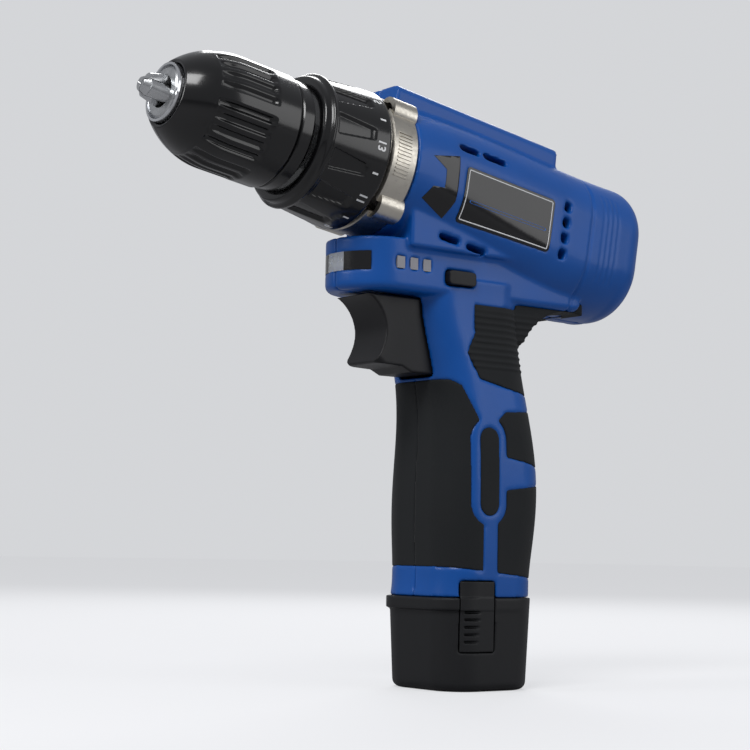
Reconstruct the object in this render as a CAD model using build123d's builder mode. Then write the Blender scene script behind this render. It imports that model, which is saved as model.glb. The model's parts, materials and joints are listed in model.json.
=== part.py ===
"""Cordless drill: keyless chuck, torque ring, two-speed planetary gearbox, motor, and a clip-in battery pack.

Millimetres, +Z up, +X towards the chuck, +Y to the tool's left. The origin is the centre of the battery's foot.
The barrel tips up a little: barrel places are (along the barrel, radius) measured from the torque ring's rear.
"""

import math
import os

from build123d import *

os.makedirs("parts", exist_ok=True)

# ---------------------------------------------------------------- driving dimensions
# Clearances
slide_gap = 0.3  # between a moving piece and what it passes
running_gap = 0.05  # radial, shaft in bore
seat_gap = 0.1  # between pieces that are clamped or pressed together

# Barrel
barrel_tilt = 9.0
barrel_x = 54.0
barrel_z = 186.0

# Chuck
chuck_rear = 28.5
chuck_collar_length = 5.5
chuck_collar_radius = 19.6
sleeve_length = 41.5
sleeve_radius = 20.2
sleeve_wall = 2.6
sleeve_flutes = 12
chuck_body_radius = 12.8
chuck_nose_radius = 9.4
nose_step = 1.6  # how far the body's nose stands out of the sleeve
bit_bore_radius = 5.6
jaw_radius = 2.9
jaw_angle = 15.0
jaw_length = 27.0
jaw_stand_out = 8.4  # closed jaws beyond the body's nose
jaw_tip_offset = 0.8
jaw_face_gap = 0.08

# Spindle and its bearing
spindle_radius = 5.5
bearing_inner_radius = 7.0
bearing_outer_radius = 12.5
bearing_width = 8.0

# Torque ring and clutch
ring_length = 27.0
ring_rear_radius = 25.5
ring_front_radius = 22.4
ring_wall = 3.2
nose_tube_radius = 15.8
clutch_wire_radius = 1.0
clutch_turns = 3.0
clutch_balls = 6
clutch_ball_radius = 1.8

# Gearbox
collar_length = 12.5
collar_radius = 24.8
collar_lug_angle = 42.0
gear_module = 0.9
sun_teeth = 12
planet_teeth = 12
planet_count = 3
planet_width = 6.5
gearcase_wall = 1.6
ring_gear_rim = 2.4
gearcase_length = 30.0
shift_travel = 5.0

# Motor
motor_radius = 17.8
motor_wall = 1.5
motor_length = 54.0
shaft_radius = 1.6
commutator_radius = 5.2

# Housing
housing_half_width = 24.0
motor_top = 25.4
motor_bottom = 30.5
housing_length = 116.0
rear_cap_depth = 11.0
rail_top = 30.2
rail_half_width = 11.5
rail_front = 9.0
rail_rear = 87.0
nose_radius = 17.2
nose_centre_x = 41.8
belly_bottom = 139.5
belly_top = 158.0
belly_rear = -43.0

# Handle
handle_half_width = 22.4
handle_half_depth = 22.6
handle_corner = 14.0
skin = 1.2
handle_bottom = 33.0
handle_top = 146.0

# Battery
cell_radius = 9.2
cell_length = 65.0
cell_floor = 10.0
tower_wall = 1.2
tower_top = 78.0
cup_foot_half = (20.4, 21.2)
cup_rim_half = (21.5, 22.4)
cup_corner = 13.0
cup_wall = 1.5
latch_width = 13.0

# Trigger
trigger_half_width = 9.6
trigger_travel = 6.0
trigger_top = 138.4

# Screws
screw_radius = 1.4
screw_head_radius = 2.8

# ---------------------------------------------------------------- frames and helpers
tilt = math.radians(barrel_tilt)
forward = Vector(math.cos(tilt), 0, math.sin(tilt))
upward = Vector(-math.sin(tilt), 0, math.cos(tilt))
barrel_origin = Vector(barrel_x, 0, barrel_z)
barrel_axis = Axis(barrel_origin, forward)
barrel_side = Plane(origin=barrel_origin, x_dir=forward, z_dir=(0, -1, 0))
side_view = Plane.XZ


def on_barrel(along, left=0.0, up=0.0):
    """The point at a place given along, left of and above the barrel axis."""
    return barrel_origin + forward * along + Vector(0, left, 0) + upward * up


def across(along):
    """The plane across the barrel at a distance along it; its X is left and its Y is up."""
    return Plane(origin=on_barrel(along), x_dir=(0, 1, 0), z_dir=forward)


def turn(*outline, mode=Mode.ADD):
    """Revolve an outline of (along, radius) points about the barrel axis."""
    with BuildSketch(barrel_side) as profile:
        with BuildLine():
            Polyline(*outline, close=True)
        make_face()
    revolve(profile.sketch, axis=barrel_axis, mode=mode)


def ring(start, end, inner, outer, mode=Mode.ADD):
    """A plain ring or disc about the barrel axis."""
    turn((start, inner), (end, inner), (end, outer), (start, outer), mode=mode)


def bar(x_range, y_range, z_range, mode=Mode.ADD):
    """A rectangular bar between three pairs of limits."""
    centre = tuple((low + high) / 2 for low, high in (x_range, y_range, z_range))
    size = tuple(high - low for low, high in (x_range, y_range, z_range))
    with Locations(centre):
        Box(*size, mode=mode)


def cross_pin(place, radius, y_range, mode=Mode.ADD):
    """A cylinder along Y through an (x, z) place."""
    plane = Plane(origin=(place[0], y_range[0], place[1]), x_dir=(1, 0, 0), z_dir=(0, 1, 0))
    with BuildSketch(plane) as disc:
        Circle(radius)
    extrude(disc.sketch, amount=y_range[1] - y_range[0], mode=mode)


def finish(piece, name):
    """Label a piece and write it to its own file."""
    piece.part.label = name
    export_step(piece.part, f"parts/{name}.step")


# ---------------------------------------------------------------- chuck
sleeve_rear = chuck_rear + chuck_collar_length + slide_gap
sleeve_front = sleeve_rear + sleeve_length
chuck_nose = sleeve_front + nose_step
jaw_tip = chuck_nose + jaw_stand_out
slope = math.tan(math.radians(jaw_angle))
body_flange_radius = chuck_collar_radius - 3.4
sleeve_bore = sleeve_radius - sleeve_wall
nut_rear, nut_front = sleeve_front - 18.5, sleeve_front - 10.5


def jaw_reach(along):
    """Radius to the outside of the jaws at a place along the barrel."""
    return jaw_tip_offset + (jaw_tip - along) * slope + jaw_radius / math.cos(math.radians(jaw_angle))


nut_floor = jaw_reach(nut_front) - 0.2


def jaw_plane(index):
    """Plane at a jaw's tip; its normal runs back and out along the jaw."""
    spin = math.radians(90 + 120 * index)
    outward = Vector(0, math.cos(spin), 0) + upward * math.sin(spin)
    lean = math.radians(jaw_angle)
    back = outward * math.sin(lean) - forward * math.cos(lean)
    tip = on_barrel(jaw_tip) + outward * jaw_tip_offset
    return Plane(origin=tip, x_dir=outward * math.cos(lean) + forward * math.sin(lean), z_dir=back)


for index in range(3):
    wedge = math.radians(59.0)
    with BuildPart() as jaw:
        with BuildSketch(jaw_plane(index)):
            Circle(jaw_radius)
        extrude(amount=jaw_length)
        # the three jaws meet in flat faces along the axis
        spin = 90 + 120 * index
        reach = 3 * jaw_radius + jaw_length
        with BuildSketch(across(jaw_tip - jaw_length - 1)) as sector:
            with BuildLine():
                start = jaw_face_gap / math.sin(wedge)
                heart = Vector(start, 0).rotate(Axis.Z, spin)
                low = Vector(start + reach * math.cos(wedge), -reach * math.sin(wedge)).rotate(Axis.Z, spin)
                high = Vector(start + reach * math.cos(wedge), reach * math.sin(wedge)).rotate(Axis.Z, spin)
                Polyline(heart, low, high, close=True)
            make_face()
        extrude(sector.sketch, amount=jaw_length + 10, mode=Mode.INTERSECT)
        turn(
            (jaw_tip + 5, 0),
            (jaw_tip + 5, 12),
            (jaw_tip - 2.5, 12),
            (jaw_tip - 2.2, 3.6),
            (jaw_tip, 2.3),
            (jaw_tip, 0),
            mode=Mode.SUBTRACT,
        )
    finish(jaw, f"jaw_{index + 1}")

with BuildPart() as chuck_body:
    turn(
        (chuck_rear, spindle_radius + running_gap),
        (chuck_rear + 18, spindle_radius + running_gap),
        (chuck_rear + 18, 2.6),
        (chuck_rear + 21, 2.6),
        (chuck_rear + 21, bit_bore_radius),
        (chuck_nose, bit_bore_radius),
        (chuck_nose, chuck_nose_radius - 1.2),
        (chuck_nose - 1.2, chuck_nose_radius),
        (nut_front + 4.5, chuck_nose_radius),
        (nut_front + 4.5, chuck_body_radius),
        (nut_front + 0.6, chuck_body_radius),
        (nut_front + 0.6, nut_floor),
        (nut_rear - 0.6, nut_floor),
        (nut_rear - 0.6, chuck_body_radius),
        (sleeve_rear + 2, chuck_body_radius),
        (sleeve_rear + 2, sleeve_bore - slide_gap),
        (sleeve_rear + 0.2, sleeve_bore - slide_gap),
        (sleeve_rear + 0.2, body_flange_radius),
        (chuck_rear, body_flange_radius),
    )
    for index in range(3):
        with BuildSketch(jaw_plane(index)) as bore:
            Circle(jaw_radius + running_gap)
        extrude(bore.sketch, amount=60, mode=Mode.SUBTRACT)
finish(chuck_body, "chuck_body")

with BuildPart() as chuck_collar:
    ring(chuck_rear, chuck_rear + chuck_collar_length, body_flange_radius + 0.02, chuck_collar_radius)
    chamfer(chuck_collar.edges().filter_by(GeomType.CIRCLE).sort_by(SortBy.RADIUS)[-2:], 0.8)
finish(chuck_collar, "chuck_rear_collar")

with BuildPart() as jaw_nut:
    nut_clear = slide_gap + 0.05
    turn(
        (nut_rear, jaw_reach(nut_rear) + nut_clear),
        (nut_front, jaw_reach(nut_front) + nut_clear),
        (nut_front, sleeve_bore - 0.02),
        (nut_rear, sleeve_bore - 0.02),
    )
finish(jaw_nut, "jaw_nut")

with BuildPart() as chuck_sleeve:
    shoulder = sleeve_rear + 20.0
    with BuildSketch(barrel_side):
        with BuildLine():
            Polyline(
                (sleeve_rear, sleeve_bore),
                (sleeve_rear, sleeve_radius - 0.8),
                (sleeve_rear + 0.8, sleeve_radius),
                (shoulder, sleeve_radius),
            )
            Spline(
                (shoulder, sleeve_radius),
                (sleeve_front - 12.5, sleeve_radius * 0.92),
                (sleeve_front - 5.2, sleeve_radius * 0.775),
                (sleeve_front, sleeve_radius * 0.575),
                tangents=((1, 0), (1, -1.9)),
            )
            Polyline(
                (sleeve_front, sleeve_radius * 0.575),
                (sleeve_front, chuck_nose_radius + running_gap + 0.9),
                (nut_front + 4.7, chuck_nose_radius + running_gap + 0.9),
                (nut_front + 4.7, chuck_body_radius + running_gap),
                (nut_front, chuck_body_radius + running_gap),
                (nut_front, sleeve_bore),
                (sleeve_rear, sleeve_bore),
            )
        make_face()
    revolve(axis=barrel_axis)
    # long shallow flutes round the front of the grip
    with BuildSketch(across(sleeve_rear + 9)) as flutes:
        with PolarLocations(sleeve_radius + 1.2, sleeve_flutes):
            Circle(2.3)
    extrude(flutes.sketch, amount=sleeve_length, mode=Mode.SUBTRACT)
finish(chuck_sleeve, "chuck_sleeve")

with BuildPart() as nose_ring:
    ring(nut_front + 5.0, chuck_nose, chuck_nose_radius + 0.02, chuck_nose_radius + 0.85)
finish(nose_ring, "nose_ring")

with BuildPart() as chuck_screw:
    ring(chuck_rear + 21, chuck_rear + 24, 0, 4.2)
    ring(chuck_rear + 8, chuck_rear + 21, 0, 2.5)
finish(chuck_screw, "chuck_screw")

# ---------------------------------------------------------------- spindle bearing
bearing_rear = 8.0
with BuildPart() as spindle_bearing:
    ring(bearing_rear, bearing_rear + bearing_width, bearing_inner_radius, bearing_outer_radius)
finish(spindle_bearing, "spindle_bearing")

# ---------------------------------------------------------------- torque ring and clutch
ring_bore = ring_front_radius - ring_wall
with BuildPart() as torque_ring:
    turn(
        (0, ring_rear_radius - ring_wall),
        (0, ring_rear_radius - 0.6),
        (0.6, ring_rear_radius),
        (ring_length * 0.5, ring_rear_radius - 0.9),
        (ring_length - 3.4, ring_front_radius + 1.0),
        (ring_length - 0.6, ring_front_radius + 0.4),
        (ring_length, ring_front_radius - 0.4),
        (ring_length, nose_tube_radius + running_gap),
        (ring_length - 3, nose_tube_radius + running_gap),
        (ring_length - 3, ring_bore),
        (ring_length * 0.45, ring_bore),
        (ring_length * 0.3, ring_rear_radius - ring_wall),
    )
    # tapered grip grooves round the side
    with BuildSketch(across(2.0)) as grooves:
        with PolarLocations(ring_rear_radius + 1.4, 12, start_angle=15):
            Circle(2.0)
    extrude(grooves.sketch, amount=ring_length - 8, mode=Mode.SUBTRACT)
finish(torque_ring, "torque_ring")

clutch_nut_place = (ring_length - 8.5, ring_length - 4.5)
with BuildPart() as clutch_nut:
    ring(*clutch_nut_place, nose_tube_radius + running_gap, ring_bore - 0.02)
finish(clutch_nut, "clutch_nut")

clutch_mean_radius = nose_tube_radius + slide_gap + clutch_wire_radius
washer_place = (2.6, 4.2)
spring_room = clutch_nut_place[0] - washer_place[1] - 2 * clutch_wire_radius - 0.2
spring_start = on_barrel(washer_place[1] + clutch_wire_radius + 0.1)
with BuildPart() as clutch_spring:
    with BuildLine() as coil:
        Helix(
            pitch=spring_room / clutch_turns,
            height=spring_room,
            radius=clutch_mean_radius,
            center=spring_start,
            direction=forward,
        )
    with BuildSketch(Plane(origin=coil.line @ 0, z_dir=coil.line % 0)):
        Circle(clutch_wire_radius)
    sweep(is_frenet=True)
finish(clutch_spring, "clutch_spring")

ball_orbit = (nose_tube_radius + ring_bore) / 2
ball_centre = washer_place[0] - clutch_ball_radius
with BuildPart() as clutch_ball_set:
    with Locations(across(ball_centre)):
        with PolarLocations(ball_orbit, clutch_balls):
            Sphere(clutch_ball_radius)
finish(clutch_ball_set, "clutch_balls")

# ---------------------------------------------------------------- gear case and its collar
ring_teeth = 2 * planet_teeth + sun_teeth
orbit = gear_module * (sun_teeth + planet_teeth) / 2
ring_pitch = gear_module * ring_teeth / 2
collar_rear = -collar_length
case_rear = collar_rear - gearcase_length
lug_angles = (90 - collar_lug_angle, 90 + collar_lug_angle, 270 - collar_lug_angle, 270 + collar_lug_angle)
lug_orbit = collar_radius - 2.2
lug_radius = 5.2
case_bore = ring_pitch + ring_gear_rim
gearcase_radius = case_bore + gearcase_wall

with BuildPart() as gearbox_collar:
    turn(
        (collar_rear, case_bore),
        (collar_rear + 3.5, case_bore),
        (collar_rear + 3.5, bearing_outer_radius + 0.02),
        (bearing_rear + bearing_width + 1, bearing_outer_radius + 0.02),
        (bearing_rear + bearing_width + 1, bearing_inner_radius + 1.4),
        (ring_length - 1, bearing_inner_radius + 1.4),
        (ring_length - 1, nose_tube_radius),
        (-0.4, nose_tube_radius),
        (-0.4, collar_radius - 2.0),
        (-1.6, collar_radius),
        (collar_rear + 1.0, collar_radius),
        (collar_rear, collar_radius - 0.8),
    )
    with BuildSketch(across(collar_rear)) as lugs:
        for angle in lug_angles:
            with Locations(Vector(lug_orbit, 0).rotate(Axis.Z, angle)):
                Circle(lug_radius)
    extrude(lugs.sketch, amount=collar_length - 2.5)
    ring(bearing_rear, bearing_rear + bearing_width, 0, bearing_outer_radius + 0.02, mode=Mode.SUBTRACT)
    ring(collar_rear - 1, collar_rear + 3.5, 0, case_bore, mode=Mode.SUBTRACT)
    with BuildSketch(across(collar_rear)) as lug_holes:
        for angle in lug_angles:
            with Locations(Vector(lug_orbit, 0).rotate(Axis.Z, angle)):
                Circle(screw_radius + 0.1)
    extrude(lug_holes.sketch, amount=collar_length, mode=Mode.SUBTRACT)
    with BuildSketch(across(collar_rear + 5.0)) as lug_recesses:
        for angle in lug_angles:
            with Locations(Vector(lug_orbit, 0).rotate(Axis.Z, angle)):
                Circle(screw_head_radius + 0.3)
    extrude(lug_recesses.sketch, amount=collar_length, mode=Mode.SUBTRACT)
    with Locations(across(ball_centre)):
        with PolarLocations(ball_orbit, clutch_balls):
            Sphere(clutch_ball_radius + 0.05, mode=Mode.SUBTRACT)
finish(gearbox_collar, "gearbox_collar")

with BuildPart() as collar_screws:
    for angle in lug_angles:
        spot = Vector(lug_orbit, 0).rotate(Axis.Z, angle)
        with BuildSketch(across(collar_rear - 9)) as shank:
            with Locations(spot):
                Circle(screw_radius)
        extrude(shank.sketch, amount=14)
        with BuildSketch(across(collar_rear + 5)) as head:
            with Locations(spot):
                Circle(screw_head_radius)
        extrude(head.sketch, amount=2.2)
finish(collar_screws, "collar_screws")

output_planets_rear = collar_rear - 9.5
input_planets_rear = output_planets_rear - 2.4 - 2.6 - planet_width - 3.0
output_ring_rear = output_planets_rear - 0.5
input_ring_rear = case_rear + 1.5
planet_angles = [90 + 360 * n / planet_count for n in range(planet_count)]
planet_pin_radius = 1.5
fork_tip = output_ring_rear + 3.75
fork_half_thickness = 1.0
motor_front = case_rear - 2.2
motor_rear = motor_front - motor_length

fork_half_width = 2.5
with BuildPart() as gear_case:
    ring(motor_front, collar_rear - 0.02, case_bore, gearcase_radius)
    ring(motor_front, case_rear, 4.0, case_bore + 0.5)
    # a slot in the roof lets the speed fork reach the shift ring
    with BuildSketch(across(fork_tip + fork_half_thickness + slide_gap)) as slot:
        with Locations((0, gearcase_radius)):
            Rectangle(2 * (fork_half_width + slide_gap), 8)
    extrude(slot.sketch, amount=-(shift_travel + 2 * fork_half_thickness + 2 * slide_gap), mode=Mode.SUBTRACT)
finish(gear_case, "gear_case")


# ---------------------------------------------------------------- planetary gears
def gear_outline(teeth, outward_teeth=True, turned=0.0, slack=0.22):
    """Points of a spur gear with straight-flanked teeth; slack is the play taken off each flank."""
    pitch_radius = gear_module * teeth / 2
    sign = 1 if outward_teeth else -1
    tip = pitch_radius + sign * 0.76 * gear_module
    root = pitch_radius - sign * 1.08 * gear_module
    points = []
    for tooth in range(teeth):
        middle = turned + 360 * tooth / teeth
        for radius, share in ((root, 0.44), (tip, 0.20), (tip, -0.20), (root, -0.44)):
            half_width = share * math.pi * gear_module * (1.0 if radius == root else 0.78)
            flank = math.degrees((half_width - math.copysign(slack, share)) / radius)
            points.append(Vector(radius, 0).rotate(Axis.Z, middle - flank))
    return points


def gear_face(teeth, centre=(0, 0), turned=0.0):
    """A spur gear's outline as a face in the current sketch."""
    with Locations(centre):
        Polygon(*[(p.X, p.Y) for p in gear_outline(teeth, turned=turned)], align=None)


def toothed_ring(along, width, outer):
    """An internally toothed ring about the barrel axis."""
    with BuildSketch(across(along)) as section:
        Circle(outer)
        teeth = gear_outline(ring_teeth, outward_teeth=False, turned=0)
        Polygon(*[(p.X, p.Y) for p in teeth], align=None, mode=Mode.SUBTRACT)
    extrude(section.sketch, amount=width)


with BuildPart() as shift_ring:
    toothed_ring(output_ring_rear, planet_width + 1.5, case_bore - slide_gap)
    ring(
        fork_tip - fork_half_thickness - 0.25,
        fork_tip + fork_half_thickness + 0.25,
        case_bore - 1.1,
        case_bore + 1.0,
        mode=Mode.SUBTRACT,
    )
finish(shift_ring, "shift_ring_gear")

with BuildPart() as fixed_ring:
    toothed_ring(input_ring_rear, planet_width + 2.2, case_bore - 0.02)
finish(fixed_ring, "fixed_ring_gear")


def carrier(along, thickness, planets_rear):
    """A carrier disc with the pins that its planets turn on."""
    ring(along, along + thickness, 0, orbit + planet_pin_radius + 1.6)
    for angle in planet_angles:
        with BuildSketch(across(planets_rear)) as pin:
            with Locations(Vector(orbit, 0).rotate(Axis.Z, angle)):
                Circle(planet_pin_radius)
        extrude(pin.sketch, amount=along - planets_rear)


carrier_front = collar_rear + 1.0
output_disc = output_planets_rear + planet_width + 0.4
with BuildPart() as output_spindle:
    carrier(output_disc, carrier_front - output_disc, output_planets_rear)
    turn(
        (output_disc + 0.5, 0),
        (chuck_rear + 7, 0),
        (chuck_rear + 7, 2.6),
        (chuck_rear + 17, 2.6),
        (chuck_rear + 17, spindle_radius),
        (chuck_rear - 0.5, spindle_radius),
        (chuck_rear - 0.5, bearing_inner_radius - running_gap),
        (bearing_rear - running_gap, bearing_inner_radius - running_gap),
        (bearing_rear - running_gap, bearing_inner_radius + 1.2),
        (bearing_rear - 2, bearing_inner_radius + 1.2),
        (bearing_rear - 2, bearing_inner_radius - 0.5),
        (output_disc + 0.5, bearing_inner_radius - 0.5),
    )
finish(output_spindle, "output_spindle")

input_disc = input_planets_rear + planet_width + 0.4
with BuildPart() as input_carrier:
    carrier(input_disc, 2.6, input_planets_rear)
    with BuildSketch(across(input_disc + 2.6)) as sun:
        gear_face(sun_teeth, turned=90)
    extrude(sun.sketch, amount=output_planets_rear + planet_width - 0.5 - input_disc - 2.6)
finish(input_carrier, "input_carrier")


def planet(along, angle):
    """One planet gear, bored for its pin."""
    with BuildSketch(across(along)) as teeth:
        centre = Vector(orbit, 0).rotate(Axis.Z, angle)
        gear_face(planet_teeth, (centre.X, centre.Y), turned=angle + 180 / planet_teeth)
        with Locations((centre.X, centre.Y)):
            Circle(planet_pin_radius + running_gap, mode=Mode.SUBTRACT)
    extrude(teeth.sketch, amount=planet_width)


for number, angle in enumerate(planet_angles, start=1):
    with BuildPart() as output_planet:
        planet(output_planets_rear, angle)
    finish(output_planet, f"output_planet_{number}")

for number, angle in enumerate(planet_angles, start=1):
    with BuildPart() as input_planet:
        planet(input_planets_rear, angle)
    finish(input_planet, f"input_planet_{number}")

# ---------------------------------------------------------------- motor
with BuildPart() as motor_can:
    ring(motor_rear, motor_front - 0.02, 0, motor_radius)
    ring(motor_rear, motor_front - motor_wall, 0, motor_radius - motor_wall, mode=Mode.SUBTRACT)
    ring(motor_front - 3, motor_front + 1, 0, 3.2, mode=Mode.SUBTRACT)
finish(motor_can, "motor_can")

magnet_inner = motor_radius - motor_wall - 3.6
with BuildPart() as magnets:
    ring(motor_rear + 12, motor_front - 6, magnet_inner, motor_radius - motor_wall - 0.02)
    # two arcs are left, above and below the armature
    with BuildSketch(across(motor_rear + 11)) as side_gaps:
        Rectangle(80, 13)
    extrude(side_gaps.sketch, amount=motor_length, mode=Mode.SUBTRACT)
finish(magnets, "motor_magnets")

armature_radius = magnet_inner - 0.6
with BuildPart() as armature:
    with BuildSketch(across(motor_rear + 12)) as laminations:
        Circle(armature_radius)
        Circle(shaft_radius, mode=Mode.SUBTRACT)
        with PolarLocations(armature_radius, 5):
            Rectangle(6, 1.6, mode=Mode.SUBTRACT)
    extrude(laminations.sketch, amount=motor_length - 18)
finish(armature, "motor_armature")

with BuildPart() as motor_shaft:
    ring(motor_rear - 7, input_planets_rear + planet_width - 0.4, 0, shaft_radius - 0.02)
    with BuildSketch(across(input_planets_rear - 0.5)) as pinion_teeth:
        gear_face(sun_teeth, turned=90)
    extrude(pinion_teeth.sketch, amount=planet_width)
finish(motor_shaft, "motor_shaft")

with BuildPart() as commutator:
    ring(motor_rear + 2.5, motor_rear + 10, shaft_radius, commutator_radius)
    with BuildSketch(across(motor_rear + 2.5)) as slits:
        with PolarLocations(commutator_radius, 5):
            Rectangle(1.2, 0.5)
    extrude(slits.sketch, amount=5, mode=Mode.SUBTRACT)
finish(commutator, "commutator")

brush_inner = commutator_radius + 0.4
brush_outer = motor_radius - 4.2
with BuildPart() as brushes:
    with BuildSketch(across(motor_rear + 4)) as blocks:
        for side in (-1, 1):
            with Locations((side * (brush_inner + brush_outer) / 2, 0)):
                Rectangle(brush_outer - brush_inner, 3.6)
    extrude(blocks.sketch, amount=4.4)
finish(brushes, "motor_brushes")

holder_inner = brush_inner + 1.3
holder_outer = brush_outer + 0.7
with BuildPart() as brush_cap:
    ring(motor_rear - 4, motor_rear - 0.02, shaft_radius + running_gap, motor_radius)
    with BuildSketch(across(motor_rear - 0.5)) as holders:
        for side in (-1, 1):
            with Locations((side * (holder_inner + holder_outer) / 2, 0)):
                Rectangle(holder_outer - holder_inner, 6)
    extrude(holders.sketch, amount=10)
    with BuildSketch(across(motor_rear + 3.9)) as brush_slots:
        for side in (-1, 1):
            with Locations((side * (brush_inner + brush_outer) / 2, 0)):
                Rectangle(brush_outer - brush_inner + 2, 3.64)
    extrude(brush_slots.sketch, amount=4.6, mode=Mode.SUBTRACT)
finish(brush_cap, "brush_cap")

# ---------------------------------------------------------------- housing
handle_sections = (
    (handle_bottom, 0.2, -1.0, -0.2),
    (56.0, -1.0, 0.0, 0.0),
    (76.0, -1.6, 0.3, 0.0),
    (97.0, -0.4, -1.4, -0.8),
    (114.0, 2.4, -1.4, -2.4),
    (handle_top, 5.6, 0.4, -4.4),
)


def handle_loft(inset):
    """The handle's outside drawn in by an inset: sections of (height, centre, extra depth, extra width)."""
    sections = []
    for height, centre, deeper, wider in handle_sections:
        with BuildSketch(Plane.XY.offset(height)) as section:
            with Locations((centre, 0)):
                RectangleRounded(
                    2 * (handle_half_depth + deeper - inset),
                    2 * (handle_half_width + wider - inset),
                    handle_corner - inset,
                )
        sections.append(section.sketch)
    return sections


with BuildPart() as handle_outside:
    loft(handle_loft(0.0))
with BuildPart() as handle_inside:
    loft(handle_loft(skin))

cap_start = collar_rear - (housing_length - rear_cap_depth)
motor_middle = (motor_top - motor_bottom) / 2
motor_height = motor_top + motor_bottom - 2
motor_corner = 21.0
barrel_sections = (
    (collar_rear - seat_gap, 2 * collar_radius, 2 * collar_radius, 0.0, collar_radius - 0.1),
    (collar_rear - 22.0, 2 * housing_half_width + 0.6, 51.0, 0.0, 23.0),
    (collar_rear - 57.0, 2 * housing_half_width, motor_height, motor_middle, motor_corner),
    (cap_start, 2 * housing_half_width - 1, motor_height, motor_middle, motor_corner),
)
with BuildPart() as barrel_outside:
    sections = []
    for along, width, height, centre, corner in barrel_sections:
        with BuildSketch(across(along)) as section:
            with Locations((0, centre)):
                RectangleRounded(width, height, corner)
        sections.append(section.sketch)
    loft(sections)
    extrude(sections[-1], amount=-rear_cap_depth)
    fillet(barrel_outside.faces().sort_by(barrel_axis)[0].edges(), rear_cap_depth - 1.0)

with BuildPart() as belly:
    # nose block with a round front under the collar, carried back to the motor
    with BuildSketch(Plane.XY.offset(belly_bottom)) as plan:
        with Locations((nose_centre_x, 0)):
            Circle(nose_radius)
            Rectangle(nose_centre_x - belly_rear, 2 * nose_radius, align=(Align.MAX, Align.CENTER))
    extrude(plan.sketch, amount=belly_top - belly_bottom)
    fillet(belly.faces().sort_by(Axis.Z)[0].edges(), 2.6)
    # shoulders that carry the nose block up to the barrel
    with BuildSketch(side_view) as shoulder:
        with BuildLine():
            low, high = belly_top - 3, 176
            Polyline((40, low), (belly_rear, low), (belly_rear, high), (40, high), close=True)
        make_face()
    extrude(shoulder.sketch, amount=nose_radius + 2.5, both=True)

# the web behind the hand, which the rubber covers
web_heel = (-15.5, 124.0)
web_tail = (-46.0, 138.5)
with BuildPart() as web:
    with BuildSketch(side_view):
        with BuildLine():
            RadiusArc(web_heel, web_tail, -26)
            Polyline(web_tail, (-46, 146), (4, 146), (4, web_heel[1]), web_heel)
        make_face()
    extrude(amount=15.5, both=True)
    fillet(web.faces().sort_by(Axis.Z)[:2].edges().filter_by(Plane.XZ), 4.0)
    add(barrel_outside.part, mode=Mode.SUBTRACT)
    add(belly.part, mode=Mode.SUBTRACT)
    add(handle_outside.part, mode=Mode.SUBTRACT)

with BuildPart() as rail:
    with BuildSketch(across(-rail_front)) as rail_section:
        with Locations((0, rail_top)):
            RectangleRounded(2 * rail_half_width, 16, 3.5, align=(Align.CENTER, Align.MAX))
    extrude(rail_section.sketch, amount=-(rail_rear - rail_front))
    # the ear at the front clears the collar below it
    ring(collar_rear - seat_gap, 5, 0, collar_radius + slide_gap, mode=Mode.SUBTRACT)

# Battery cells stand in a triangle with its point to the front
cell_pitch = 2 * cell_radius
triangle_radius = cell_pitch / math.sqrt(3)
triangle_x = -2.8
cell_places = [
    (triangle_x + triangle_radius, 0),
    (triangle_x - triangle_radius / 2, cell_radius),
    (triangle_x - triangle_radius / 2, -cell_radius),
]
latch_angles = (60, -60)
face_distance = triangle_radius / 2 + cell_radius + tower_wall


def cell_triangle(grown):
    """The rounded triangle round the three cells, grown by a margin."""
    with BuildSketch(Plane.XY) as outline:
        for place in cell_places:
            with Locations(place):
                Circle(cell_radius + grown)
        make_hull()
    return outline.sketch


def latch_block(angle, inner, outer, half_width, z_range, mode=Mode.ADD):
    """An upright block facing out at an angle from the triangle's middle."""
    plane = Plane(origin=(triangle_x, 0, z_range[0])).rotated((0, 0, angle))
    with BuildSketch(plane) as plan:
        with Locations(((inner + outer) / 2, 0)):
            Rectangle(outer - inner, 2 * half_width)
    extrude(plan.sketch, amount=z_range[1] - z_range[0], mode=mode)


pocket_gap = 0.5
pocket_top = tower_top + 1.2
bore_radius = gearcase_radius + seat_gap
motor_bore_radius = motor_radius + 2.5
boss_radius = 3.4
boss_half_length = 11.8
upper_boss = on_barrel(8.0 - housing_length, 0, 13.0)
lower_boss = on_barrel(8.0 - housing_length, 0, -16.0)
screw_places = (
    (49.5, 150.0),
    (-33.0, 147.5),
    (6.0, pocket_top + 5.5),
    (upper_boss.X, upper_boss.Z),
    (lower_boss.X, lower_boss.Z),
)
selector_place = (16.0, 146.0)
selector_size = (12.4, 5.0)
window_places = (31.0, 36.8, 42.6)
window_height = 149.2
window_size = (3.6, 4.4)
knob_rear, knob_front = -62.0, -46.0
knob_half_width = 5.5
latch_window_top = 38.6
vent_places = [(-85.0, up) for up in (4.5, -1.5, -7.5, -13.5)]
slot_places = ((-36.5, 11.6, 9.5), (-48.5, 11.8, 11.5), (-35.0, -21.4, 9.5), (-47.5, -21.8, 9.5))
bay_bottom = pocket_top + 10.5


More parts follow.
